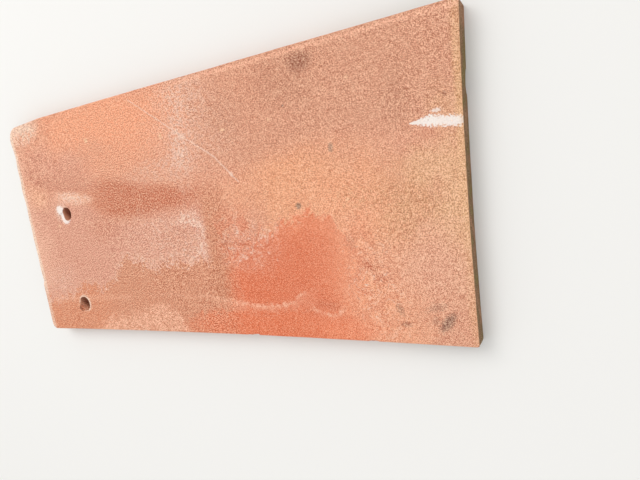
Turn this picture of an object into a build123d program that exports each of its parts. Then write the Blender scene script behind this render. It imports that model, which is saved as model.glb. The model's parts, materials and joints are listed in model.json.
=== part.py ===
from build123d import *
import os

# Clay roof tile lying flat, weather face up.
# X runs along the tile with the head at -X and the tail at +X.
# The side nearer to the second peg hole is at -Y.

length = 380.0
width = 180.0
thickness = 13.0

# plan corners, the head ones are worn rounder than the tail ones
head_far_corner = 12.0
head_near_corner = 6.0
tail_far_corner = 3.0
tail_near_corner = 2.5

# the far side falls away a little over its last stretch before the head
shoulder_length = 44.0
shoulder_depth = 2.4

# firing has drawn in the tail edge and the near side at their middles
tail_hollow = 1.3
near_side_hollow = 1.9

# the arrises are soft on the weather face and tighter below
top_edge_round = 1.6
bottom_edge_round = 0.8

# peg holes: the side hole is set out from the head and the near side,
# the middle hole from the head and from the side hole
side_hole_diameter = 12.2
side_hole_from_head = 52.2
side_hole_from_near_side = 23.8
middle_hole_diameter = 10.8
middle_hole_from_head = 54.3
hole_spacing_across = 77.4
hole_mouth_round = 0.7

head_x = -length / 2
tail_x = length / 2
far_y = width / 2
near_y = -width / 2
far_head_y = far_y - shoulder_depth

side_hole = (head_x + side_hole_from_head, near_y + side_hole_from_near_side)
middle_hole = (head_x + middle_hole_from_head, side_hole[1] + hole_spacing_across)

os.makedirs("parts", exist_ok=True)

with BuildPart() as roof_tile:
    # the outline, taken round from the head
    with BuildSketch(Plane.XY) as outline:
        with BuildLine() as rim:
            Line((head_x, near_y), (head_x, far_head_y))
            Line((head_x, far_head_y), (head_x + shoulder_length, far_y))
            Line((head_x + shoulder_length, far_y), (tail_x, far_y))
            ThreePointArc((tail_x, far_y), (tail_x - tail_hollow, 0), (tail_x, near_y))
            ThreePointArc((tail_x, near_y), (0, near_y + near_side_hollow), (head_x, near_y))
        make_face()
        for corner_x, corner_y, radius in (
            (head_x, far_head_y, head_far_corner),
            (head_x, near_y, head_near_corner),
            (tail_x, far_y, tail_far_corner),
            (tail_x, near_y, tail_near_corner),
        ):
            corner = outline.vertices().sort_by_distance((corner_x, corner_y, 0))[0]
            fillet(corner, radius=radius)
    extrude(amount=thickness)

    # both peg holes go right through
    for place, diameter in ((side_hole, side_hole_diameter), (middle_hole, middle_hole_diameter)):
        with BuildSketch(Plane.XY):
            with Locations(place):
                Circle(diameter / 2)
        extrude(amount=thickness, mode=Mode.SUBTRACT)

    # the arris round the weather face with the mouths of the holes, then the one below
    weather_face = roof_tile.faces().sort_by(Axis.Z)[-1]
    fillet(weather_face.outer_wire().edges(), radius=top_edge_round)
    weather_face = roof_tile.faces().sort_by(Axis.Z)[-1]
    mouths = [wire.edges() for wire in weather_face.inner_wires()]
    fillet([edge for mouth in mouths for edge in mouth], radius=hole_mouth_round)
    underside = roof_tile.faces().sort_by(Axis.Z)[0]
    fillet(underside.outer_wire().edges(), radius=bottom_edge_round)

roof_tile.part.label = "roof_tile"
export_step(roof_tile.part, "parts/roof_tile.step")
print("roof_tile", roof_tile.part.bounding_box(), "volume", roof_tile.part.volume)
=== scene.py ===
import bpy
import json
import math
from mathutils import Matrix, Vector, noise


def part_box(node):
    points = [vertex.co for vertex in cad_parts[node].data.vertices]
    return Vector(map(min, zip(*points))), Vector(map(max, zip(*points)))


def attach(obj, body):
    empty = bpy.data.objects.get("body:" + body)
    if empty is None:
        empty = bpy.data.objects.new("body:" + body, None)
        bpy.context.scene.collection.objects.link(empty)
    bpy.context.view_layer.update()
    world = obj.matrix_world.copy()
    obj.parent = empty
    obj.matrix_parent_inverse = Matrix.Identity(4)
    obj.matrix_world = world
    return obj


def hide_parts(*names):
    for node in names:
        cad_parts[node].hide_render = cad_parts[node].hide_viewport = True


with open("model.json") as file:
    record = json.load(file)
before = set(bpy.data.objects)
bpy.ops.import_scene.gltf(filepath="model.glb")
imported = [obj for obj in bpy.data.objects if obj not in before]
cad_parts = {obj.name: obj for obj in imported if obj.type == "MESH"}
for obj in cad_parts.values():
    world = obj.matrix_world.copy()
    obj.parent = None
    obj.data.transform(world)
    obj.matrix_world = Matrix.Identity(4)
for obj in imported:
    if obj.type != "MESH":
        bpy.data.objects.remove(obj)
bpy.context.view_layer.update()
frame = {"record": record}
print("frame loaded")


def deselectAll():
    if bpy.context.object and bpy.context.object.mode != "OBJECT":
        bpy.ops.object.mode_set(mode="OBJECT")
    bpy.ops.object.select_all(action="DESELECT")


def makeActive(obj):
    deselectAll()
    obj.select_set(True)
    bpy.context.view_layer.objects.active = obj


def applyModifier(obj, modifier):
    makeActive(obj)
    bpy.ops.object.modifier_apply(modifier=modifier.name)


def smoothStep(low, high, value):
    share = min(max((value - low) / (high - low), 0.0), 1.0)
    return share * share * (3.0 - 2.0 * share)


# the camera stands where the photograph was taken: over the tail, looking back at the head
cameraView = {
    "place": (0.23745, 0.00846, 0.2741),
    "turn": (-14.6286, 27.0186, -7.844),
    "lens": 27.0,
    "shiftUp": 0.06197,
}
cameraData = bpy.data.cameras.new("viewCamera")
cameraData.sensor_width = 36.0
cameraData.lens = cameraView["lens"]
cameraData.shift_y = cameraView["shiftUp"]
cameraData.clip_start = 0.01
cameraObject = bpy.data.objects.new("viewCamera", cameraData)
bpy.context.scene.collection.objects.link(cameraObject)
cameraObject.location = cameraView["place"]
cameraObject.rotation_euler = [math.radians(v) for v in cameraView["turn"]]
bpy.context.scene.camera = cameraObject
print("camera set")

# the overall sizes and the holes come from the frame, the rest is measured off the tile in metres
lowCorner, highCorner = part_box("roof_tile")
tile = {
    "length": -2 * lowCorner.x,
    "width": 2 * highCorner.y,
    "thickness": highCorner.z,
    "corners": ((-1, 1, 0.012), (-1, -1, 0.006), (1, 1, 0.0017), (1, -1, 0.0013)),
    "shoulderLength": 0.044,
    "shoulderDepth": 0.0024,
    "tailHollow": 0.0013,
    "nearHollow": 0.0019,
    "edgeRound": 0.0007,
    "headWear": 0.0017,
    "headWearWidth": 0.0050,
    "headWearEnd": -0.047,
    "cellsAlong": 238,
    "cellsAcross": 113,
    "layers": 6,
    "holeMouth": 0.0003,
}
# each hole: its place along, its place across and its radius
holes = {
    mount["name"]: (mount["pos_m"][0], mount["pos_m"][1], mount["dims"]["r_mm"] / 1000)
    for mount in frame["record"]["mounts"] if mount["kind"] == "bore"
}


def outlinePoint(u, v):
    halfLength, halfWidth = tile["length"] / 2, tile["width"] / 2
    x, y = u * halfLength, v * halfWidth
    for sideX, sideY, radius in tile["corners"]:
        inX = (sideX * x - halfLength + radius) / radius
        inY = (sideY * y - halfWidth + radius) / radius
        if inX > 0 and inY > 0:
            x = sideX * (halfLength - radius + radius * inX * math.sqrt(1 - inY * inY / 2))
            y = sideY * (halfWidth - radius + radius * inY * math.sqrt(1 - inX * inX / 2))
    if y > 0:
        fall = max(0.0, 1 - (x + halfLength) / tile["shoulderLength"])
        y *= 1 - tile["shoulderDepth"] * fall / halfWidth
    else:
        y *= 1 - tile["nearHollow"] * (1 - (x / halfLength) ** 2) / halfWidth
    if x > 0:
        x *= 1 - tile["tailHollow"] * (1 - (y / halfWidth) ** 2) / halfLength
    return x, y


def makeBody():
    bpy.ops.mesh.primitive_grid_add(
        x_subdivisions=tile["cellsAlong"], y_subdivisions=tile["cellsAcross"], size=2.0, location=(0, 0, 0))
    body = bpy.context.object
    body.name = "clay_tile"
    mesh = body.data
    for vertex in mesh.vertices:
        x, y = outlinePoint(vertex.co.x, vertex.co.y)
        vertex.co = (x, y, 0.0)
    # raised in layers, so that the sides have rows of their own
    bpy.ops.object.mode_set(mode="EDIT")
    bpy.ops.mesh.select_mode(type="FACE")
    bpy.ops.mesh.select_all(action="SELECT")
    for i in range(tile["layers"]):
        bpy.ops.mesh.extrude_region_move(
            TRANSFORM_OT_translate={"value": (0, 0, tile["thickness"] / tile["layers"])})
    bpy.ops.mesh.select_all(action="SELECT")
    bpy.ops.mesh.normals_make_consistent(inside=False)
    bpy.ops.mesh.select_all(action="DESELECT")
    bpy.ops.object.mode_set(mode="OBJECT")
    # the arris round the weather face
    uses = {}
    for polygon in mesh.polygons:
        if polygon.normal.z > 0.9:
            for key in polygon.edge_keys:
                uses[key] = uses.get(key, 0) + 1
    bpy.ops.object.mode_set(mode="EDIT")
    bpy.ops.mesh.select_mode(type="EDGE")
    bpy.ops.mesh.select_all(action="DESELECT")
    bpy.ops.object.mode_set(mode="OBJECT")
    for edge in mesh.edges:
        edge.select = uses.get(edge.key, 0) == 1
    bpy.ops.object.mode_set(mode="EDIT")
    bpy.ops.mesh.bevel(offset=tile["edgeRound"], segments=2, affect="EDGES")
    bpy.ops.object.mode_set(mode="OBJECT")
    # the head's arris has rubbed away unevenly, most of all from its middle to the far corner
    for vertex in mesh.vertices:
        gap = vertex.co.x + tile["length"] / 2
        if vertex.co.z > tile["thickness"] * 0.75 and gap < tile["headWearWidth"]:
            uneven = 0.75 + 0.7 * noise.noise(Vector((3.0, vertex.co.y * 70, 1.0)))
            worn = 0.3 + 0.7 * smoothStep(tile["headWearEnd"] - 0.0015, tile["headWearEnd"] + 0.0015, vertex.co.y)
            vertex.co.z -= tile["headWear"] * worn * uneven * (1 - gap / tile["headWearWidth"]) ** 2
    return body


def cutHole(body, hole):
    mouth = tile["holeMouth"]
    cutters = []
    bpy.ops.mesh.primitive_cylinder_add(vertices=64, radius=hole[2], depth=0.05, location=(hole[0], hole[1], 0.0))
    cutters.append(bpy.context.object)
    bpy.ops.mesh.primitive_cone_add(
        vertices=64, radius1=hole[2], radius2=hole[2] + mouth * 2, depth=mouth * 2,
        location=(hole[0], hole[1], tile["thickness"]))
    cutters.append(bpy.context.object)
    for cutter in cutters:
        cut = body.modifiers.new("hole", "BOOLEAN")
        cut.operation = "DIFFERENCE"
        cut.solver = "EXACT"
        cut.object = cutter
        applyModifier(body, cut)
        bpy.data.objects.remove(cutter, do_unlink=True)


# small losses along the edges: place, size and depth of each bite
chips = [
    {"place": (0.0383, -0.0886, 0.0130), "size": (0.0042, 0.0018, 0.0030)},
    {"place": (0.0330, -0.0888, 0.0130), "size": (0.0025, 0.0012, 0.0020)},
    {"place": (0.1273, -0.0892, 0.0130), "size": (0.0036, 0.0015, 0.0022)},
    {"place": (-0.0700, -0.0888, 0.0128), "size": (0.0030, 0.0010, 0.0020)},
    {"place": (0.1770, -0.0900, 0.0010), "size": (0.0110, 0.0050, 0.0060)},
    {"place": (0.1880, 0.0520, 0.0005), "size": (0.0030, 0.0070, 0.0030)},
    {"place": (-0.1905, -0.0445, 0.0130), "size": (0.0022, 0.0036, 0.0026)},
    {"place": (-0.1900, 0.0200, 0.0005), "size": (0.0028, 0.0060, 0.0035)},
    {"place": (-0.0500, 0.0900, 0.0010), "size": (0.0080, 0.0022, 0.0030)},
    {"place": (-0.1410, 0.0085, 0.0136), "size": (0.0058, 0.0070, 0.0014)},
    {"place": (-0.1420, -0.0698, 0.0130), "size": (0.0036, 0.0030, 0.0042)},
]


def biteChips(body):
    for i, chip in enumerate(chips):
        bpy.ops.mesh.primitive_ico_sphere_add(subdivisions=3, radius=1.0, location=(0, 0, 0))
        lump = bpy.context.object
        for vertex in lump.data.vertices:
            push = 1.0 + 0.35 * noise.noise(vertex.co * 1.6 + Vector((i * 7.3, 1.1, 4.2)))
            vertex.co = Vector((
                vertex.co.x * chip["size"][0] * push + chip["place"][0],
                vertex.co.y * chip["size"][1] * push + chip["place"][1],
                vertex.co.z * chip["size"][2] * push + chip["place"][2]))
        cutter = body.modifiers.new("chip", "BOOLEAN")
        cutter.operation = "DIFFERENCE"
        cutter.solver = "EXACT"
        cutter.object = lump
        applyModifier(body, cutter)
        bpy.data.objects.remove(lump, do_unlink=True)


def addUnevenness(obj, name, lumpSize, height, depth=2):
    texture = bpy.data.textures.new(name, "CLOUDS")
    texture.noise_scale = lumpSize
    texture.noise_depth = depth
    swell = obj.modifiers.new(name, "DISPLACE")
    swell.texture = texture
    swell.texture_coords = "LOCAL"
    swell.direction = "NORMAL"
    swell.mid_level = 0.5
    swell.strength = height
    applyModifier(obj, swell)


body = makeBody()
# the faces are not dead flat: pressed by hand, dried and fired
addUnevenness(body, "broadWaves", 0.090, 0.00040)
addUnevenness(body, "handMarks", 0.016, 0.00022)
addUnevenness(body, "pressMarks", 0.0065, 0.00012)
# the underside rests on its high spots
for vertex in body.data.vertices:
    vertex.co.z = max(vertex.co.z, 0.0)
for hole in holes.values():
    cutHole(body, hole)
biteChips(body)
makeActive(body)
bpy.ops.object.shade_smooth_by_angle(angle=math.radians(38))
print("tile formed,", len(body.data.polygons), "faces")


def linkTo(tree, source, target):
    tree.links.new(source, target)


def setInput(tree, socket, value):
    if hasattr(value, "is_output"):
        tree.links.new(value, socket)
    else:
        socket.default_value = value


def mathNode(tree, operation, first, second=None, third=None, clamp=False):
    node = tree.nodes.new("ShaderNodeMath")
    node.operation = operation
    node.use_clamp = clamp
    setInput(tree, node.inputs[0], first)
    if second is not None:
        setInput(tree, node.inputs[1], second)
    if third is not None:
        setInput(tree, node.inputs[2], third)
    return node.outputs[0]


def vectorNode(tree, operation, first, second=None):
    node = tree.nodes.new("ShaderNodeVectorMath")
    node.operation = operation
    setInput(tree, node.inputs[0], first)
    if second is not None:
        setInput(tree, node.inputs[1], second)
    return node.outputs["Value"] if operation in ("LENGTH", "DOT_PRODUCT") else node.outputs[0]


def rangeNode(tree, value, low, high, toLow=0.0, toHigh=1.0, smooth=True):
    node = tree.nodes.new("ShaderNodeMapRange")
    node.interpolation_type = "SMOOTHSTEP" if smooth else "LINEAR"
    setInput(tree, node.inputs["Value"], value)
    setInput(tree, node.inputs["From Min"], low)
    setInput(tree, node.inputs["From Max"], high)
    setInput(tree, node.inputs["To Min"], toLow)
    setInput(tree, node.inputs["To Max"], toHigh)
    return node.outputs["Result"]


def noiseNode(tree, position, scale, detail=3.0, roughness=0.5, distortion=0.0, offset=0.0):
    if offset:
        position = vectorNode(tree, "ADD", position, (offset, offset * 0.7, offset * 1.3))
    node = tree.nodes.new("ShaderNodeTexNoise")
    node.noise_dimensions = "3D"
    setInput(tree, node.inputs["Vector"], position)
    node.inputs["Scale"].default_value = scale
    node.inputs["Detail"].default_value = detail
    node.inputs["Roughness"].default_value = roughness
    node.inputs["Distortion"].default_value = distortion
    return node.outputs["Fac"]


def mixColour(tree, share, first, second, blend="MIX"):
    node = tree.nodes.new("ShaderNodeMix")
    node.data_type = "RGBA"
    node.blend_type = blend
    setInput(tree, node.inputs[0], share)
    setInput(tree, node.inputs[6], first)
    setInput(tree, node.inputs[7], second)
    return node.outputs[2]


def newGroup(name, inputs, outputs):
    group = bpy.data.node_groups.new(name, "ShaderNodeTree")
    for label, kind, value in inputs:
        socket = group.interface.new_socket(name=label, in_out="INPUT", socket_type=kind)
        if value is not None:
            socket.default_value = value
    for label, kind in outputs:
        group.interface.new_socket(name=label, in_out="OUTPUT", socket_type=kind)
    entry = group.nodes.new("NodeGroupInput")
    leave = group.nodes.new("NodeGroupOutput")
    return group, entry, leave


# a blotch: an ellipse, or a box with round corners, whose edge is frayed by a noise
def makeBlotchGroup():
    group, entry, leave = newGroup("blotch", [
        ("Along", "NodeSocketFloat", 0.0),
        ("Across", "NodeSocketFloat", 0.0),
        ("Fray", "NodeSocketFloat", 0.0),
        ("Centre Along", "NodeSocketFloat", 0.0),
        ("Centre Across", "NodeSocketFloat", 0.0),
        ("Half Length", "NodeSocketFloat", 0.01),
        ("Half Width", "NodeSocketFloat", 0.01),
        ("Angle", "NodeSocketFloat", 0.0),
        ("Squareness", "NodeSocketFloat", 2.0),
        ("Softness", "NodeSocketFloat", 0.3),
        ("Raggedness", "NodeSocketFloat", 0.3),
    ], [("Mask", "NodeSocketFloat")])
    given = entry.outputs
    offX = mathNode(group, "SUBTRACT", given["Along"], given["Centre Along"])
    offY = mathNode(group, "SUBTRACT", given["Across"], given["Centre Across"])
    cosine = mathNode(group, "COSINE", given["Angle"])
    sine = mathNode(group, "SINE", given["Angle"])
    shareX = mathNode(group, "ADD", mathNode(group, "MULTIPLY", offX, cosine), mathNode(group, "MULTIPLY", offY, sine))
    shareY = mathNode(group, "SUBTRACT", mathNode(group, "MULTIPLY", offY, cosine), mathNode(group, "MULTIPLY", offX, sine))
    shareX = mathNode(group, "ABSOLUTE", mathNode(group, "DIVIDE", shareX, given["Half Length"]))
    shareY = mathNode(group, "ABSOLUTE", mathNode(group, "DIVIDE", shareY, given["Half Width"]))
    power = given["Squareness"]
    total = mathNode(group, "ADD", mathNode(group, "POWER", shareX, power), mathNode(group, "POWER", shareY, power))
    reach = mathNode(group, "POWER", total, mathNode(group, "DIVIDE", 1.0, power))
    reach = mathNode(group, "MULTIPLY_ADD", given["Fray"], given["Raggedness"], reach)
    outer = mathNode(group, "ADD", 1.0, given["Softness"])
    inner = mathNode(group, "SUBTRACT", 1.0, given["Softness"])
    linkTo(group, rangeNode(group, reach, outer, inner), leave.inputs["Mask"])
    return group


# a stroke: a straight mark between two points that can widen along its way
def makeStrokeGroup():
    group, entry, leave = newGroup("stroke", [
        ("Along", "NodeSocketFloat", 0.0),
        ("Across", "NodeSocketFloat", 0.0),
        ("Fray", "NodeSocketFloat", 0.0),
        ("Start Along", "NodeSocketFloat", 0.0),
        ("Start Across", "NodeSocketFloat", 0.0),
        ("End Along", "NodeSocketFloat", 0.01),
        ("End Across", "NodeSocketFloat", 0.01),
        ("Start Width", "NodeSocketFloat", 0.001),
        ("End Width", "NodeSocketFloat", 0.001),
        ("Softness", "NodeSocketFloat", 0.3),
        ("Raggedness", "NodeSocketFloat", 0.3),
    ], [("Mask", "NodeSocketFloat")])
    given = entry.outputs
    runX = mathNode(group, "SUBTRACT", given["End Along"], given["Start Along"])
    runY = mathNode(group, "SUBTRACT", given["End Across"], given["Start Across"])
    offX = mathNode(group, "SUBTRACT", given["Along"], given["Start Along"])
    offY = mathNode(group, "SUBTRACT", given["Across"], given["Start Across"])
    run = mathNode(group, "ADD", mathNode(group, "MULTIPLY", runX, runX), mathNode(group, "MULTIPLY", runY, runY))
    share = mathNode(group, "ADD", mathNode(group, "MULTIPLY", offX, runX), mathNode(group, "MULTIPLY", offY, runY))
    share = mathNode(group, "DIVIDE", share, run, clamp=True)
    gapX = mathNode(group, "SUBTRACT", offX, mathNode(group, "MULTIPLY", runX, share))
    gapY = mathNode(group, "SUBTRACT", offY, mathNode(group, "MULTIPLY", runY, share))
    gap = mathNode(group, "ADD", mathNode(group, "MULTIPLY", gapX, gapX), mathNode(group, "MULTIPLY", gapY, gapY))
    gap = mathNode(group, "SQRT", gap)
    width = rangeNode(group, share, 0.0, 1.0, given["Start Width"], given["End Width"], False)
    reach = mathNode(group, "DIVIDE", gap, width)
    reach = mathNode(group, "MULTIPLY_ADD", given["Fray"], given["Raggedness"], reach)
    outer = mathNode(group, "ADD", 1.0, given["Softness"])
    inner = mathNode(group, "SUBTRACT", 1.0, given["Softness"])
    linkTo(group, rangeNode(group, reach, outer, inner), leave.inputs["Mask"])
    return group


# a tide line: everything below a wandering boundary, frayed by a noise
def makeTideGroup():
    group, entry, leave = newGroup("tideLine", [
        ("Height", "NodeSocketFloat", 0.0),
        ("Boundary", "NodeSocketFloat", 0.0),
        ("Fray", "NodeSocketFloat", 0.0),
        ("Reach", "NodeSocketFloat", 0.002),
        ("Softness", "NodeSocketFloat", 0.001),
        ("Line Width", "NodeSocketFloat", 0.001),
    ], [("Below", "NodeSocketFloat"), ("Line", "NodeSocketFloat"), ("Depth", "NodeSocketFloat")])
    drop = mathNode(group, "SUBTRACT", entry.outputs["Boundary"], entry.outputs["Height"])
    drop = mathNode(group, "ADD", drop, mathNode(group, "MULTIPLY", entry.outputs["Fray"], entry.outputs["Reach"]))
    soft = entry.outputs["Softness"]
    below = rangeNode(group, drop, mathNode(group, "MULTIPLY", soft, -1.0), soft)
    linkTo(group, below, leave.inputs["Below"])
    gap = mathNode(group, "ABSOLUTE", drop)
    linkTo(group, rangeNode(group, gap, entry.outputs["Line Width"], mathNode(group, "MULTIPLY", entry.outputs["Line Width"], 0.25)), leave.inputs["Line"])
    linkTo(group, drop, leave.inputs["Depth"])
    return group


# sand pressed into the face before firing: dark grains, pale grains and a height for the bump
def makeSandGroup():
    group, entry, leave = newGroup("sandFace", [
        ("Position", "NodeSocketVector", None),
        ("Colour", "NodeSocketColor", (0.8, 0.5, 0.4, 1.0)),
        ("Dark", "NodeSocketFloat", 0.5),
        ("Pale", "NodeSocketFloat", 0.5),
    ], [("Colour", "NodeSocketColor"), ("Height", "NodeSocketFloat")])
    place = entry.outputs["Position"]
    # the sand is a little coarser towards the head
    split = group.nodes.new("ShaderNodeSeparateXYZ")
    linkTo(group, place, split.inputs[0])
    headward = rangeNode(group, split.outputs[0], 0.16, -0.08, 0.0, 0.9)
    coarse = noiseNode(group, place, 1300.0, 1.0, 0.5, 0.0, 5.1)
    fine = noiseNode(group, place, 2450.0, 1.0, 0.5, 0.0, 2.3)
    both = mathNode(group, "MULTIPLY_ADD", mathNode(group, "SUBTRACT", coarse, fine), headward, fine)
    dark = mathNode(group, "MULTIPLY", rangeNode(group, both, 0.476, 0.420, 0.0, 1.0), entry.outputs["Dark"])
    pale = mathNode(group, "MULTIPLY", rangeNode(group, both, 0.528, 0.585, 0.0, 1.0), entry.outputs["Pale"])
    # loose single grains, one in a few cells
    for seed, (size, share, tone) in enumerate(((420.0, 0.78, "pale"), (380.0, 0.80, "dark"))):
        cells = group.nodes.new("ShaderNodeTexVoronoi")
        cells.inputs["Scale"].default_value = size
        linkTo(group, vectorNode(group, "ADD", place, (seed * 0.7 + 0.1, 0.3, 0.2)), cells.inputs["Vector"])
        spot = rangeNode(group, cells.outputs["Distance"], 0.21, 0.10)
        chosen = group.nodes.new("ShaderNodeSeparateColor")
        linkTo(group, cells.outputs["Color"], chosen.inputs[0])
        spot = mathNode(group, "MULTIPLY", spot, mathNode(group, "GREATER_THAN", chosen.outputs[0], share))
        if tone == "pale":
            pale = mathNode(group, "MAXIMUM", pale, mathNode(group, "MULTIPLY", spot, 0.75))
        else:
            dark = mathNode(group, "MAXIMUM", dark, mathNode(group, "MULTIPLY", spot, 0.75))
    darker = mixColour(group, 1.0, entry.outputs["Colour"], (0.46, 0.29, 0.23, 1.0), "MULTIPLY")
    paler = mixColour(group, 0.72, entry.outputs["Colour"], (1.0, 0.70, 0.49, 1.0))
    colour = mixColour(group, dark, entry.outputs["Colour"], darker)
    colour = mixColour(group, pale, colour, paler)
    linkTo(group, colour, leave.inputs["Colour"])
    linkTo(group, both, leave.inputs["Height"])
    return group


blotchGroup = makeBlotchGroup()
strokeGroup = makeStrokeGroup()
tideGroup = makeTideGroup()
sandGroup = makeSandGroup()


# colours are given as they look, 0 to 255, and turned into light here
def tone(red, green, blue):
    parts = [c / 255 for c in (red, green, blue)]
    return tuple(c / 12.92 if c < 0.04045 else ((c + 0.055) / 1.055) ** 2.4 for c in parts) + (1.0,)


def addBlotch(tree, place, fray, centre, size, angle=0.0, square=2.0, soft=0.3, ragged=0.3):
    node = tree.nodes.new("ShaderNodeGroup")
    node.node_tree = blotchGroup
    linkTo(tree, place[0], node.inputs["Along"])
    linkTo(tree, place[1], node.inputs["Across"])
    linkTo(tree, fray, node.inputs["Fray"])
    node.inputs["Centre Along"].default_value = centre[0] / 1000
    node.inputs["Centre Across"].default_value = centre[1] / 1000
    node.inputs["Half Length"].default_value = size[0] / 1000
    node.inputs["Half Width"].default_value = size[1] / 1000
    node.inputs["Angle"].default_value = math.radians(angle)
    node.inputs["Squareness"].default_value = square
    node.inputs["Softness"].default_value = soft
    node.inputs["Raggedness"].default_value = ragged
    return node.outputs["Mask"]


def addStroke(tree, place, fray, start, end, startWidth, endWidth, soft=0.4, ragged=0.5):
    node = tree.nodes.new("ShaderNodeGroup")
    node.node_tree = strokeGroup
    linkTo(tree, place[0], node.inputs["Along"])
    linkTo(tree, place[1], node.inputs["Across"])
    linkTo(tree, fray, node.inputs["Fray"])
    node.inputs["Start Along"].default_value = start[0] / 1000
    node.inputs["Start Across"].default_value = start[1] / 1000
    node.inputs["End Along"].default_value = end[0] / 1000
    node.inputs["End Across"].default_value = end[1] / 1000
    node.inputs["Start Width"].default_value = startWidth / 1000
    node.inputs["End Width"].default_value = endWidth / 1000
    node.inputs["Softness"].default_value = soft
    node.inputs["Raggedness"].default_value = ragged
    return node.outputs["Mask"]


def boundaryCurve(tree, share, points):
    node = tree.nodes.new("ShaderNodeFloatCurve")
    linkTo(tree, share, node.inputs["Value"])
    curve = node.mapping.curves[0]
    spots = [((x + 190) / 380, (y + 90) / 180) for x, y in points]
    curve.points[0].location = spots[0]
    curve.points[1].location = spots[-1]
    for spot in spots[1:-1]:
        curve.points.new(*spot)
    for point in curve.points:
        point.handle_type = "AUTO"
    node.mapping.update()
    return mathNode(tree, "MULTIPLY_ADD", node.outputs[0], 0.180, -0.090)


# millimetres on the weather face: x from the head (-190) to the tail (190), y from near (-90) to far (90)
tideLines = {
    "hazeFoot": {"points": [(-190, -61), (-150, -58), (-138, -53), (-125, -47), (-112, -53), (-97, -47), (-86, -38),
                            (-77, -29), (-62, -31), (-46, -37), (-30, -33), (-14, -31), (0, -33), (20, -33), (190, -33)],
                 "fray": "frost", "reach": 9.0, "soft": 0.9, "line": 1.5},
    "ridge": {"points": [(-190, 48), (-180, 44), (-165, 37), (-150, 32), (-130, 30), (-105, 30), (-85, 33), (-65, 30),
                         (-45, 25), (-20, 22), (10, 18), (190, 18)],
              "fray": "cloud", "reach": 1.2, "soft": 5.5},
    "ridgeStep": {"points": [(-190, 50), (-180, 45), (-168, 38), (-150, 32), (-130, 29.5), (-105, 27), (-85, 24), (-60, 22), (190, 22)],
                  "fray": "cloud", "reach": 0.6, "soft": 1.1},
    "bandFoot": {"points": [(-190, 30), (-150, 27), (-120, 22), (-100, 11), (-85, 3), (-60, 0), (-30, 2), (0, 5), (20, 10), (190, 10)],
                 "fray": "cloud", "reach": 2.0, "soft": 6.5},
    "deepTop": {"points": [(-190, -60), (6, -60), (17, -38), (28, -33), (36, -27), (50, -25), (60, -19), (68, -13), (78, -10), (92, -9),
                           (105, -11), (112, -19), (120, -32), (128, -48), (136, -72), (190, -90)],
                "fray": "flame", "reach": 7.0, "soft": 3.0, "line": 1.4},
    "nearCream": {"points": [(-190, -92), (-130, -90), (-115, -80), (-90, -76), (-70, -72), (-47, -67), (-33, -72), (-20, -86), (0, -92), (190, -92)],
                  "fray": "frost", "reach": 6.0, "soft": 3.0, "line": 1.0},
    "footRed": {"points": [(-190, -92), (-40, -92), (-22, -78), (0, -72), (20, -71), (55, -72), (78, -70), (90, -73),
                           (102, -76), (113, -73), (120, -80), (130, -92), (190, -92)],
                "fray": "frost", "reach": 4.5, "soft": 3.4, "line": 1.0},
    "firstArc": {"points": [(-190, -57), (-60, -57), (-30, -59), (0, -60), (26, -64), (42, -66), (60, -66.5), (72, -64), (82, -58), (190, 0)],
                 "fray": "frost", "reach": 1.8, "soft": 1.4, "line": 2.4},
    "secondArc": {"points": [(-190, -64), (80, -64), (86, -66.5), (92, -70.5), (99, -73), (105, -72), (110, -69), (116, -62), (190, 0)],
                  "fray": "frost", "reach": 1.8, "soft": 1.4, "line": 2.4},
    "tailFar": {"points": [(-190, 92), (5, 88), (14, 40), (40, 26), (80, 34), (120, 38), (160, 34), (190, 40)],
                "fray": "cloud", "reach": 3.0, "soft": 9.0},
}

clayTones = {
    "base": (230, 163, 135), "baseLow": (225, 158, 131), "farOrange": (246, 167, 131), "headMauve": (226, 160, 137),
    "mauve": (222, 159, 139), "band": (205, 121, 92), "ridgeTone": (212, 143, 120), "strip": (209, 137, 106), "ochre": (213, 142, 112),
    "headOchre": (220, 140, 106), "haze": (231, 183, 163), "frost": (244, 212, 196), "deep": (222, 116, 80), "deepEdge": (233, 129, 92), "wisp": (222, 128, 97), "wispBase": (222, 139, 110), "footGlow": (243, 142, 104),
    "footRed": (228, 122, 84), "cream": (248, 189, 161), "tailBrown": (219, 155, 128), "tailDark": (206, 143, 117),
    "smudge": (156, 92, 72), "bruise": (136, 92, 80), "glow": (240, 169, 130), "tailWarm": (251, 174, 136), "algae": (219, 166, 122), "tailPale": (236, 187, 145), "tailPink": (234, 172, 146),
    "rim": (243, 190, 167), "rimPale": (250, 224, 205), "chalk": (246, 238, 233), "grey": (128, 110, 100),
    # the two bore tones below are painted light at the mouth and painted shade deeper in
    "grime": (106, 85, 54), "boreLitMouth": (240, 178, 146), "boreShadeDeep": (150, 94, 72), "moss": (112, 118, 40), "headGlow": (240, 179, 148),
    "arcBand": (238, 164, 134), "olive": (198, 150, 102), "redSpot": (206, 112, 82), "headRed": (242, 150, 116), "speck": (253, 216, 176), "dash": (250, 220, 204), "hollow": (216, 152, 129), "tailGold": (222, 176, 118), "sideClay": (212, 144, 114),
}

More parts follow.
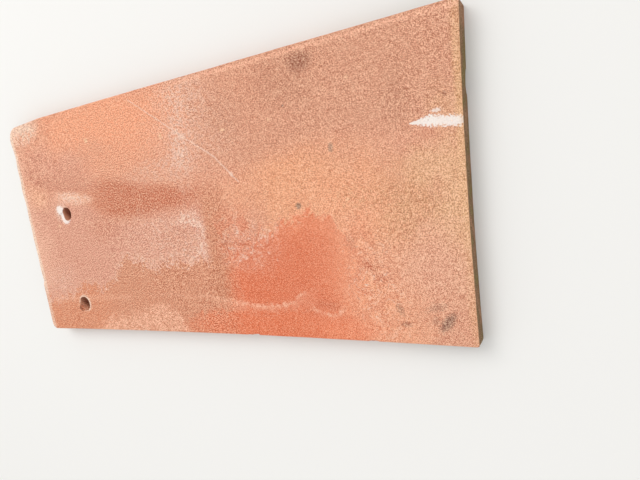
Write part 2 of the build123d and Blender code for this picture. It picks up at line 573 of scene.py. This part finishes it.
# kind, tone, strength, fray, then the mark's own numbers
broadMarks = [
    ("blotch", "headMauve", 0.90, "cloud", dict(centre=(-140, 52), size=(44, 22), angle=-6, soft=0.5, ragged=0.4)),
    ("blotch", "farOrange", 0.95, "cloud", dict(centre=(-76, 76), size=(74, 20), angle=-2, soft=0.6, ragged=0.4)),
    ("blotch", "farOrange", 0.45, "cloud", dict(centre=(-55, 50), size=(40, 16), soft=0.7, ragged=0.4)),
    ("blotch", "glow", 0.95, "cloud", dict(centre=(98, 4), size=(52, 30), angle=-6, soft=0.6, ragged=0.4)),
    ("blotch", "tailWarm", 0.90, "cloud", dict(centre=(128, -46), size=(36, 50), angle=8, soft=0.6, ragged=0.4)),
]
lateMarks = [
    ("dust", "haze", 0.95, "cloud", dict(centre=(0, 51), size=(8, 23), angle=-4, soft=0.90, ragged=0.9)),
    ("dust", "haze", 0.60, "cloud", dict(centre=(4, 79), size=(16, 11), angle=0, soft=0.85, ragged=0.6)),
    ("dust", "haze", 0.70, "cloud", dict(centre=(-24, 34), size=(30, 7), angle=5, soft=0.8, ragged=0.5)),
    ("blotch", "cream", 0.75, "cloud", dict(centre=(-126, 23), size=(22, 4.6), angle=-8, soft=0.65, ragged=0.3)),
    ("dust", "frost", 0.85, "cloud", dict(centre=(-125, 23.5), size=(17, 4.6), angle=-8, soft=0.6, ragged=0.3)),
    ("dust", "rimPale", 0.80, "cloud", dict(centre=(-169, 80), size=(18, 6.5), angle=6, soft=0.6, ragged=0.4)),
    ("blotch", "headRed", 0.15, "cloud", dict(centre=(-136, 82), size=(12, 4), angle=4, soft=0.7, ragged=0.5)),
    ("stroke", "dash", 0.45, "grain", dict(start=(-41, -3), end=(-34, -11), startWidth=0.5, endWidth=0.4, soft=0.6, ragged=0.9)),
    ("blotch", "redSpot", 0.30, "cloud", dict(centre=(172, 28), size=(8, 2.6), angle=-6, soft=0.7, ragged=0.4)),
    ("blotch", "redSpot", 0.45, "frost", dict(centre=(119, -27), size=(3.0, 5.0), angle=10, soft=0.6, ragged=0.5)),
    ("blotch", "redSpot", 0.45, "frost", dict(centre=(142, -46), size=(2.6, 4.0), angle=-20, soft=0.6, ragged=0.5)),
    ("dust", "frost", 0.30, "cloud", dict(centre=(-165, -45), size=(22, 12), angle=0, soft=0.7, ragged=0.5)),
    ("dust", "frost", 0.40, "cloud", dict(centre=(0, 47), size=(7, 13), soft=0.8, ragged=0.6)),
    ("dust", "frost", 0.25, "cloud", dict(centre=(10, 60), size=(30, 26), angle=0, soft=0.8, ragged=0.6)),
    ("blotch", "headGlow", 0.85, "cloud", dict(centre=(-172, 27), size=(18, 9), angle=-10, soft=0.7, ragged=0.4)),
    ("blotch", "tailGold", 0.60, "grain", dict(centre=(188.5, 10), size=(3.2, 72), square=4.0, soft=0.6, ragged=0.3)),
    ("blotch", "rim", 0.50, "cloud", dict(centre=(-176, -20), size=(13, 28), soft=0.8, ragged=0.5)),
    ("blotch", "band", 0.35, "cloud", dict(centre=(-92, -1), size=(16, 12), soft=0.8, ragged=0.5)),
    ("blotch", "footGlow", 0.65, "frost", dict(centre=(112, -82), size=(20, 8), angle=0, soft=0.7, ragged=0.4)),
    ("dust", "olive", 0.30, "frost", dict(centre=(157, -12), size=(15, 13), angle=30, soft=0.7, ragged=0.5)),
    ("dust", "olive", 0.22, "frost", dict(centre=(130, 0), size=(17, 7), soft=0.7, ragged=0.5)),
    ("blotch", "tailDark", 0.85, "cloud", dict(centre=(84, 70), size=(16, 14), soft=0.75, ragged=0.6)),
    ("blotch", "tailDark", 0.50, "cloud", dict(centre=(38, 62), size=(12, 14), soft=0.75, ragged=0.6)),
    ("blotch", "tailDark", 0.60, "cloud", dict(centre=(154, 54), size=(7, 14), soft=0.75, ragged=0.5)),
    ("blotch", "smudge", 0.82, "cloud", dict(centre=(99, 80.5), size=(8.5, 5.5), soft=0.55, ragged=0.35)),
    ("blotch", "algae", 0.45, "cloud", dict(centre=(160, -10), size=(20, 24), angle=0, soft=0.75, ragged=0.6)),
    ("blotch", "tailPale", 0.80, "cloud", dict(centre=(187, -6), size=(13, 44), square=3.0, soft=0.5, ragged=0.5)),
    ("blotch", "tailPink", 0.75, "cloud", dict(centre=(168, -44), size=(26, 20), soft=0.7, ragged=0.6)),
    ("blotch", "tailPale", 0.55, "cloud", dict(centre=(168, 14), size=(10, 10), soft=0.6, ragged=0.6)),
    ("stroke", "cream", 0.30, "frost", dict(start=(-175, -62), end=(-80, -60), startWidth=3.0, endWidth=2.0, soft=0.8, ragged=0.6)),
    ("blotch", "bruise", 0.90, "grain", dict(centre=(173.5, -76), size=(2.8, 6.4), angle=-38, soft=0.6, ragged=0.4)),
    ("blotch", "bruise", 0.42, "grain", dict(centre=(168, -67), size=(5.4, 2.4), angle=12, soft=0.7, ragged=0.9)),
    ("blotch", "bruise", 0.38, "grain", dict(centre=(167, -75), size=(2.0, 2.4), soft=0.7, ragged=0.9)),
    ("blotch", "smudge", 0.60, "grain", dict(centre=(146, -68), size=(1.8, 3.8), angle=20, soft=0.6, ragged=0.8)),
    ("blotch", "smudge", 0.60, "grain", dict(centre=(149, -77), size=(3.6, 1.6), soft=0.6, ragged=0.8)),
    ("blotch", "redSpot", 0.75, "frost", dict(centre=(136, -49), size=(3.6, 2.4), angle=20, soft=0.6, ragged=0.5)),
    ("blotch", "redSpot", 0.65, "frost", dict(centre=(129, -41), size=(4.5, 2.6), angle=-50, soft=0.6, ragged=0.5)),
    ("blotch", "redSpot", 0.45, "frost", dict(centre=(98, -66), size=(9.0, 3.2), angle=-8, soft=0.7, ragged=0.5)),
    ("blotch", "grey", 0.75, "grain", dict(centre=(86.5, -2), size=(1.9, 1.8), soft=0.45, ragged=0.35)),
    ("blotch", "grey", 0.55, "grain", dict(centre=(113, 29.8), size=(1.6, 2.4), soft=0.45, ragged=0.4)),
    ("blotch", "grey", 0.80, "grain", dict(centre=(84.5, 58), size=(0.7, 0.6), soft=0.4, ragged=0.3)),
    ("blotch", "smudge", 0.60, "grain", dict(centre=(180, 47), size=(1.0, 1.2), soft=0.4, ragged=0.3)),
    ("blotch", "smudge", 0.55, "grain", dict(centre=(-153, 75), size=(1.0, 0.8), soft=0.5, ragged=0.3)),
    ("blotch", "smudge", 0.55, "grain", dict(centre=(-61, 41), size=(0.8, 0.8), soft=0.5, ragged=0.3)),
    ("blotch", "speck", 0.75, "grain", dict(centre=(-94, 64.5), size=(1.6, 1.6), soft=0.6, ragged=0.5)),
    ("blotch", "speck", 0.70, "grain", dict(centre=(-17, 56), size=(1.0, 1.6), soft=0.6, ragged=0.5)),
    ("blotch", "speck", 0.70, "grain", dict(centre=(37, 51.5), size=(1.8, 0.8), soft=0.6, ragged=0.5)),
    ("blotch", "speck", 0.60, "grain", dict(centre=(73, 52), size=(1.0, 1.0), soft=0.6, ragged=0.5)),
    ("blotch", "speck", 0.60, "grain", dict(centre=(127, 65.5), size=(0.8, 0.8), soft=0.6, ragged=0.5)),
    ("blotch", "speck", 0.60, "grain", dict(centre=(-148, 2), size=(1.4, 1.0), soft=0.6, ragged=0.5)),
    ("blotch", "speck", 0.60, "grain", dict(centre=(120, -1), size=(1.0, 0.9), soft=0.6, ragged=0.5)),
    ("blotch", "frost", 0.60, "grain", dict(centre=(-141.5, 12.5), size=(7.6, 7.2), angle=20, soft=0.35, ragged=0.35)),
    ("blotch", "chalk", 0.90, "grain", dict(centre=(-142.9, 14.6), size=(4.8, 3.8), angle=-28, soft=0.25, ragged=0.35)),
    ("blotch", "chalk", 0.80, "grain", dict(centre=(-142.4, 11.2), size=(2.0, 4.0), soft=0.25, ragged=0.3)),
    ("blotch", "chalk", 0.85, "grain", dict(centre=(-137.8, 9.0), size=(6.2, 5.8), angle=20, soft=0.12, ragged=0.20)),
    ("blotch", "rimPale", 0.90, "grain", dict(centre=(-136.9, -65.5), size=(7.2, 7.2), soft=0.12, ragged=0.25)),
    ("stroke", "frost", 0.75, "grain", dict(start=(-42, 85), end=(2.5, 53), startWidth=0.30, endWidth=0.42, soft=0.6, ragged=0.9)),
    ("stroke", "frost", 0.70, "grain", dict(start=(2.5, 53), end=(27, 36), startWidth=0.42, endWidth=0.40, soft=0.6, ragged=0.9)),
    ("stroke", "frost", 0.75, "grain", dict(start=(27, 36), end=(44, 17.5), startWidth=0.40, endWidth=0.45, soft=0.6, ragged=0.9)),
    ("blotch", "frost", 0.80, "grain", dict(centre=(39, 23), size=(1.2, 1.8), angle=30, soft=0.5, ragged=0.4)),
    ("stroke", "chalk", 0.95, "grain", dict(start=(161, 35.0), end=(172, 34.8), startWidth=0.4, endWidth=2.8, soft=0.25, ragged=0.8)),
    ("stroke", "chalk", 0.95, "grain", dict(start=(171, 34.8), end=(186.5, 32.4), startWidth=2.6, endWidth=2.5, soft=0.25, ragged=0.8)),
    ("blotch", "chalk", 0.70, "grain", dict(centre=(175.5, 39.5), size=(2.6, 0.9), soft=0.5, ragged=0.9)),
]


def makeClayMaterial():
    material = bpy.data.materials.new("fired_clay")
    material.use_nodes = True
    tree = material.node_tree
    tree.nodes.clear()
    output = tree.nodes.new("ShaderNodeOutputMaterial")
    surface = tree.nodes.new("ShaderNodeBsdfPrincipled")
    linkTo(tree, surface.outputs[0], output.inputs["Surface"])
    coordinateNode = tree.nodes.new("ShaderNodeTexCoord")
    coordinates = coordinateNode.outputs["Object"]
    facing = tree.nodes.new("ShaderNodeSeparateXYZ")
    linkTo(tree, coordinateNode.outputs["Normal"], facing.inputs[0])
    flat = vectorNode(tree, "MULTIPLY", coordinates, (1.0, 1.0, 0.0))
    parts = tree.nodes.new("ShaderNodeSeparateXYZ")
    linkTo(tree, coordinates, parts.inputs[0])
    up = parts.outputs[2]
    isTop = mathNode(tree, "MULTIPLY", rangeNode(tree, up, 0.0090, 0.0105),
                     rangeNode(tree, facing.outputs[2], 0.18, 0.48))

    def centred(value, stretch=6.0):
        return mathNode(tree, "MULTIPLY", mathNode(tree, "SUBTRACT", value, 0.5), stretch)

    # damp creeps in fingers, so its fray is drawn on bent coordinates
    bend = tree.nodes.new("ShaderNodeCombineXYZ")
    for i, offset in enumerate((0.0, 6.2)):
        bendNoise = noiseNode(tree, flat, 70.0, 3.0, 0.5, 0.0, offset)
        linkTo(tree, mathNode(tree, "MULTIPLY", mathNode(tree, "SUBTRACT", bendNoise, 0.5), 0.036), bend.inputs[i])
    bent = vectorNode(tree, "ADD", flat, bend.outputs[0])
    upright = vectorNode(tree, "MULTIPLY", bent, (1.0, 0.4, 0.0))
    frays = {
        "cloud": centred(noiseNode(tree, flat, 28.0, 4.0, 0.6, 0.3), 4.0),
        "frost": centred(noiseNode(tree, bent, 180.0, 6.0, 0.66, 0.3, 3.7)),
        "flame": centred(noiseNode(tree, upright, 260.0, 4.0, 0.62, 0.3, 7.7)),
        "grain": centred(noiseNode(tree, flat, 900.0, 3.0, 0.6, 0.0, 1.9), 4.0),
    }
    # no mark is ruler straight: all of them wander with the damp a little
    along = mathNode(tree, "MULTIPLY_ADD", frays["frost"], 0.00015, parts.outputs[0])
    across = mathNode(tree, "MULTIPLY_ADD", frays["frost"], 0.00015, parts.outputs[1])
    place = (along, across)
    alongShare = rangeNode(tree, along, -0.190, 0.190, 0.0, 1.0, False)
    broad = noiseNode(tree, coordinates, 16.0, 5.0, 0.6)
    mottle = noiseNode(tree, coordinates, 70.0, 4.0, 0.6, 0.4, 8.1)
    crystals = rangeNode(tree, noiseNode(tree, flat, 480.0, 4.0, 0.7, 0.0, 4.4), 0.42, 0.61, 0.08, 1.42)

    below, edgeLine, depth = {}, {}, {}
    for name, line in tideLines.items():
        node = tree.nodes.new("ShaderNodeGroup")
        node.node_tree = tideGroup
        node.label = name
        linkTo(tree, across, node.inputs["Height"])
        linkTo(tree, boundaryCurve(tree, alongShare, line["points"]), node.inputs["Boundary"])
        linkTo(tree, frays[line["fray"]], node.inputs["Fray"])
        node.inputs["Reach"].default_value = line["reach"] / 1000
        node.inputs["Softness"].default_value = line["soft"] / 1000
        node.inputs["Line Width"].default_value = line.get("line", 1.0) / 1000
        below[name], edgeLine[name], depth[name] = node.outputs["Below"], node.outputs["Line"], node.outputs["Depth"]

    def notIn(value):
        return mathNode(tree, "SUBTRACT", 1.0, value)

    def times(first, *others):
        for other in others:
            first = mathNode(tree, "MULTIPLY", first, other)
        return first

    def between(low, high, soft=0.004):
        return times(rangeNode(tree, along, low / 1000 - soft, low / 1000 + soft),
                     rangeNode(tree, along, high / 1000 + soft, high / 1000 - soft))

    def layer(colour, mask, name, strength):
        return mixColour(tree, mathNode(tree, "MULTIPLY", mask, strength, clamp=True), colour, tone(*clayTones[name]))

    chalky = []

    def addMarks(colour, marks):
        for kind, name, strength, fray, numbers in marks:
            add = addStroke if kind == "stroke" else addBlotch
            mask = add(tree, place, frays[fray], **numbers)
            if name == "chalk":
                chalky.append(mask)
            colour = layer(colour, times(mask, crystals) if kind == "dust" else mask, name, strength)
        return colour

    colour = mixColour(tree, rangeNode(tree, broad, 0.35, 0.65), tone(*clayTones["base"]), tone(*clayTones["baseLow"]))
    plain = colour

    # broad tones of the weather face, then the tide marks over them
    colour = addMarks(colour, broadMarks)
    colour = layer(colour, notIn(below["tailFar"]), "tailBrown", 0.9)
    headward = rangeNode(tree, along, 0.014, 0.006)
    colour = layer(colour, times(below["ridge"], notIn(below["bandFoot"]), rangeNode(tree, along, -0.150, -0.068, 0.08, 1.0),
                                 rangeNode(tree, along, 0.030, -0.010)), "band", 0.95)
    colour = layer(colour, times(notIn(below["ridgeStep"]), rangeNode(tree, depth["ridgeStep"], -0.022, -0.002),
                                 rangeNode(tree, along, -0.184, -0.166), rangeNode(tree, along, -0.080, -0.125)), "ridgeTone", 0.80)
    colour = layer(colour, times(below["bandFoot"], headward, notIn(below["hazeFoot"])), "mauve", 0.9)
    veinNoise = noiseNode(tree, bent, 150.0, 5.0, 0.62, 0.6, 9.2)
    veins = rangeNode(tree, mathNode(tree, "ABSOLUTE", mathNode(tree, "SUBTRACT", veinNoise, 0.5)), 0.040, 0.006)
    aboveFoot = notIn(below["hazeFoot"])
    nearFoot = times(rangeNode(tree, depth["hazeFoot"], -0.010, -0.0005), aboveFoot)
    hazeGrow = rangeNode(tree, along, -0.085, 0.008, 0.12, 0.34, False)
    hazeTop = addBlotch(tree, place, frays["cloud"], (-44, -14), (56, 20), 0.0, 4.0, 0.40, 0.35)
    hazeTop = times(hazeTop, headward, aboveFoot)
    colour = layer(colour, times(hazeTop, hazeGrow, crystals), "haze", 1.0)
    hazeEnd = times(addBlotch(tree, place, frays["frost"], (-5, -16), (15.5, 16.5), 0.0, 2.3, 0.25, 0.16), aboveFoot, headward)
    hazeHollow = addBlotch(tree, place, frays["frost"], (-15, -18), (17, 11), 0.0, 2.2, 0.45, 0.35)
    colour = layer(colour, times(hazeEnd, notIn(hazeHollow), crystals), "frost", 0.95)
    colour = layer(colour, hazeHollow, "hollow", 0.55)
    colour = layer(colour, times(hazeTop, veins, crystals, rangeNode(tree, along, -0.085, -0.030)), "frost", 0.50)
    colour = layer(colour, times(nearFoot, rangeNode(tree, along, 0.014, 0.006), rangeNode(tree, along, -0.150, -0.080, 0.35, 1.0), crystals), "haze", 0.28)
    colour = layer(colour, times(below["hazeFoot"], rangeNode(tree, along, 0.034, 0.020)), "ochre", 0.92)
    colour = layer(colour, times(below["hazeFoot"], rangeNode(tree, along, -0.080, -0.125)), "headOchre", 0.95)
    stripMask = addBlotch(tree, place, frays["cloud"], (18, -24), (10, 36), 0.0, 3.0, 0.60, 0.30)
    colour = layer(colour, stripMask, "strip", 0.90)
    deepMask = times(below["deepTop"], rangeNode(tree, mathNode(tree, "MULTIPLY_ADD", frays["frost"], 0.003, along), 0.016, 0.038),
                     rangeNode(tree, along, 0.142, 0.094))
    colour = layer(colour, deepMask, "deepEdge", 0.80)
    deepCore = times(rangeNode(tree, depth["deepTop"], 0.002, 0.020), rangeNode(tree, along, 0.120, 0.080))
    colour = layer(colour, times(deepMask, deepCore), "deep", 0.85)
    colour = layer(colour, times(deepMask, rangeNode(tree, mottle, 0.52, 0.66)), "footRed", 0.40)
    wispBase = addBlotch(tree, place, frays["frost"], (42, -27), (18, 13), -10, 2.0, 0.7, 0.35)
    colour = layer(colour, wispBase, "wispBase", 0.75)
    wispNoise = noiseNode(tree, upright, 190.0, 4.0, 0.6, 0.8, 6.6)
    wisps = rangeNode(tree, wispNoise, 0.485, 0.535)
    wispRims = rangeNode(tree, mathNode(tree, "ABSOLUTE", mathNode(tree, "SUBTRACT", wispNoise, 0.465)), 0.030, 0.006)
    for centre, size, angle, strength in (((44, -22), (27, 18), -16, 0.85), ((131, -50), (18, 34), 16, 0.50)):
        patch = addBlotch(tree, place, frays["cloud"], centre, size, angle, 2.0, 0.55, 0.3)
        colour = layer(colour, times(patch, wisps), "wisp", strength)
        colour = layer(colour, times(patch, wispRims, crystals), "frost", 0.60)
    colour = layer(colour, times(below["firstArc"], notIn(below["footRed"]), between(14, 86, 0.012)), "arcBand", 0.45)
    colour = layer(colour, times(below["footRed"], rangeNode(tree, along, -0.034, 0.006, 0.35, 1.0)), "footRed", 0.80)
    colour = layer(colour, times(below["nearCream"], crystals), "cream", 0.88)
    # salts left behind where the damp stopped
    colour = layer(colour, times(edgeLine["hazeFoot"], rangeNode(tree, along, -0.150, -0.060, 0.30, 1.0),
                                 rangeNode(tree, along, 0.014, 0.006), crystals), "frost", 0.90)
    colour = layer(colour, times(edgeLine["deepTop"], between(20, 72, 0.006), crystals), "frost", 0.55)
    colour = layer(colour, times(edgeLine["deepTop"], between(72, 140, 0.006), crystals), "cream", 0.55)
    colour = layer(colour, times(edgeLine["firstArc"], rangeNode(tree, along, -0.040, 0.040, 0.35, 1.0),
                                 rangeNode(tree, along, 0.086, 0.080), rangeNode(tree, along, -0.060, -0.030), crystals), "cream", 0.58)
    colour = layer(colour, times(edgeLine["secondArc"], between(87, 110, 0.003), crystals), "cream", 0.58)
    colour = addMarks(colour, lateMarks)

    # worn rims: pale at the head, a thin line along the far side
    reach = mathNode(tree, "MULTIPLY", frays["frost"], 0.0008)
    headGap = mathNode(tree, "ADD", mathNode(tree, "ADD", along, 0.190), reach)
    farGap = mathNode(tree, "ADD", mathNode(tree, "SUBTRACT", 0.090, across), reach)
    tailGap = mathNode(tree, "ADD", mathNode(tree, "SUBTRACT", 0.190, along), reach)
    colour = layer(colour, times(rangeNode(tree, headGap, 0.019, 0.003), rangeNode(tree, across, -0.062, -0.036, 0.0, 1.0)), "rim", 0.55)
    colour = layer(colour, times(rangeNode(tree, headGap, 0.0068, 0.0042), rangeNode(tree, across, -0.060, -0.040, 0.55, 1.0)), "rimPale", 0.95)
    colour = layer(colour, times(rangeNode(tree, farGap, 0.013, 0.003), rangeNode(tree, along, -0.140, -0.170)), "rimPale", 0.75)
    colour = layer(colour, times(rangeNode(tree, farGap, 0.0050, 0.0030), rangeNode(tree, farGap, 0.0012, 0.0024),
                                 rangeNode(tree, along, -0.020, 0.020)), "cream", 0.7)
    colour = layer(colour, rangeNode(tree, tailGap, 0.0045, 0.0015), "tailPale", 0.3)

    # the sides and the underside never saw the weather in the same way
    sideTone = mixColour(tree, rangeNode(tree, mottle, 0.35, 0.65), plain, tone(*clayTones["sideClay"]))
    # the tail's face is the dirtiest, the underside stays cleaner
    under = rangeNode(tree, facing.outputs[2], -0.4, -0.8)
    tailward = times(rangeNode(tree, along, 0.10, 0.1885), mathNode(tree, "MULTIPLY_ADD", under, -0.80, 1.0))
    dirt = times(rangeNode(tree, mottle, 0.20, 0.55, 0.65, 1.0), mathNode(tree, "MULTIPLY_ADD", tailward, 0.72, 0.24))
    sideTone = mixColour(tree, dirt, sideTone, tone(*clayTones["grime"]))
    mossy = times(rangeNode(tree, mottle, 0.52, 0.66), tailward)
    sideTone = mixColour(tree, mathNode(tree, "MULTIPLY", mossy, 0.35), sideTone, tone(*clayTones["moss"]))
    colour = mixColour(tree, isTop, sideTone, colour)
    # the bores: painted light at the mouth, painted shade further down and on their far sides
    for hole in holes.values():
        radius = hole[2] * 1000 + 0.25
        bore = addBlotch(tree, place, frays["grain"], (hole[0] * 1000, hole[1] * 1000), (radius, radius), 0.0, 2.0, 0.02, 0.0)
        # painted light: a pale tone over the bore wall, standing for the lit part near the mouth
        colour = layer(colour, times(bore, rangeNode(tree, up, 0.0129, 0.0124)), "boreLitMouth", 0.95)
        # painted shade: darker deeper down and towards the far side of each bore
        boreShadeLean = mathNode(tree, "MULTIPLY_ADD", mathNode(tree, "SUBTRACT", across, hole[1]), -0.9, up)
        colour = layer(colour, times(bore, rangeNode(tree, boreShadeLean, 0.0120, 0.0070)), "boreShadeDeep", 0.95)

    # chalk lies over the sand, so the grains show less in it
    chalk = chalky[0]
    for mask in chalky[1:]:
        chalk = mathNode(tree, "MAXIMUM", chalk, mask)
    showing = times(mathNode(tree, "MULTIPLY_ADD", chalk, -0.75, 1.0), mathNode(tree, "MULTIPLY_ADD", deepMask, -0.35, 1.0))
    sand = tree.nodes.new("ShaderNodeGroup")
    sand.node_tree = sandGroup
    linkTo(tree, coordinates, sand.inputs["Position"])
    linkTo(tree, colour, sand.inputs["Colour"])
    linkTo(tree, times(showing, rangeNode(tree, isTop, 0.0, 1.0, 0.45, 0.82)), sand.inputs["Dark"])
    linkTo(tree, times(showing, rangeNode(tree, isTop, 0.0, 1.0, 0.35, 0.85)), sand.inputs["Pale"])
    linkTo(tree, sand.outputs["Colour"], surface.inputs["Base Color"])

    linkTo(tree, rangeNode(tree, sand.outputs["Height"], 0.3, 0.7, 0.98, 0.84, False), surface.inputs["Roughness"])
    surface.inputs["Specular IOR Level"].default_value = 0.1
    bumpHeight = mathNode(tree, "ADD",
                          mathNode(tree, "MULTIPLY", sand.outputs["Height"], 0.8),
                          mathNode(tree, "MULTIPLY", noiseNode(tree, coordinates, 260.0, 3.0, 0.6, 0.0, 5.0), 0.5))
    bump = tree.nodes.new("ShaderNodeBump")
    bump.inputs["Strength"].default_value = 0.45
    bump.inputs["Distance"].default_value = 0.0006
    linkTo(tree, bumpHeight, bump.inputs["Height"])
    linkTo(tree, bump.outputs[0], surface.inputs["Normal"])
    return material


clayMaterial = makeClayMaterial()
body.data.materials.clear()
body.data.materials.append(clayMaterial)
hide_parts("roof_tile")
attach(body, "root")
print("material made")

# pale floor under the tile, and soft studio light
studio = {
    "colour": (1.0, 0.99, 0.97, 1.0),
    "light": 0.72,
    "seen": 0.94,
    "floorSize": 40.0,
    "floorColour": (0.86, 0.86, 0.85, 1.0),
    "floorFade": (0.9, 2.6),
}


def seenRays(tree):
    rays = tree.nodes.new("ShaderNodeLightPath")
    seen = mathNode(tree, "MAXIMUM", rays.outputs["Is Camera Ray"], rays.outputs["Is Glossy Ray"])
    return mathNode(tree, "MAXIMUM", seen, rays.outputs["Is Transmission Ray"])


# far from the tile the floor runs into the backdrop without a horizon
def makeFloor():
    bpy.ops.mesh.primitive_plane_add(size=studio["floorSize"], location=(0, 0, -0.0001))
    floor = bpy.context.object
    floor.name = "floor"
    material = bpy.data.materials.new("floor_pale")
    material.use_nodes = True
    tree = material.node_tree
    surface = tree.nodes["Principled BSDF"]
    surface.inputs["Base Color"].default_value = studio["floorColour"]
    surface.inputs["Roughness"].default_value = 0.9
    glow = tree.nodes.new("ShaderNodeEmission")
    glow.inputs["Color"].default_value = studio["colour"]
    glow.inputs["Strength"].default_value = studio["seen"]
    blend = tree.nodes.new("ShaderNodeMixShader")
    distance = vectorNode(tree, "LENGTH", tree.nodes.new("ShaderNodeTexCoord").outputs["Object"])
    fade = rangeNode(tree, distance, *studio["floorFade"])
    linkTo(tree, mathNode(tree, "MULTIPLY", fade, seenRays(tree)), blend.inputs[0])
    linkTo(tree, surface.outputs[0], blend.inputs[1])
    linkTo(tree, glow.outputs[0], blend.inputs[2])
    linkTo(tree, blend.outputs[0], tree.nodes["Material Output"].inputs["Surface"])
    floor.data.materials.append(material)


makeFloor()
world = bpy.data.worlds.new("studio")
world.use_nodes = True
background = world.node_tree.nodes["Background"]
background.inputs["Color"].default_value = studio["colour"]
linkTo(world.node_tree, mathNode(world.node_tree, "MULTIPLY_ADD", seenRays(world.node_tree),
                                 studio["seen"] - studio["light"], studio["light"]), background.inputs["Strength"])
bpy.context.scene.world = world


def addLight(name, place, size, power, colour):
    data = bpy.data.lights.new(name, "AREA")
    data.shape = "SQUARE"
    data.size = size
    data.energy = power
    data.color = colour
    lamp = bpy.data.objects.new(name, data)
    bpy.context.scene.collection.objects.link(lamp)
    lamp.location = place
    lamp.rotation_euler = (-Vector(place)).to_track_quat("-Z", "Y").to_euler()


addLight("keyLight", (-0.7, 1.1, 1.6), 1.4, 18.0, (1.0, 0.98, 0.95))
addLight("fillLight", (1.4, -1.0, 1.5), 1.6, 6.0, (0.95, 0.97, 1.0))

bpy.context.scene.view_settings.view_transform = "Standard"
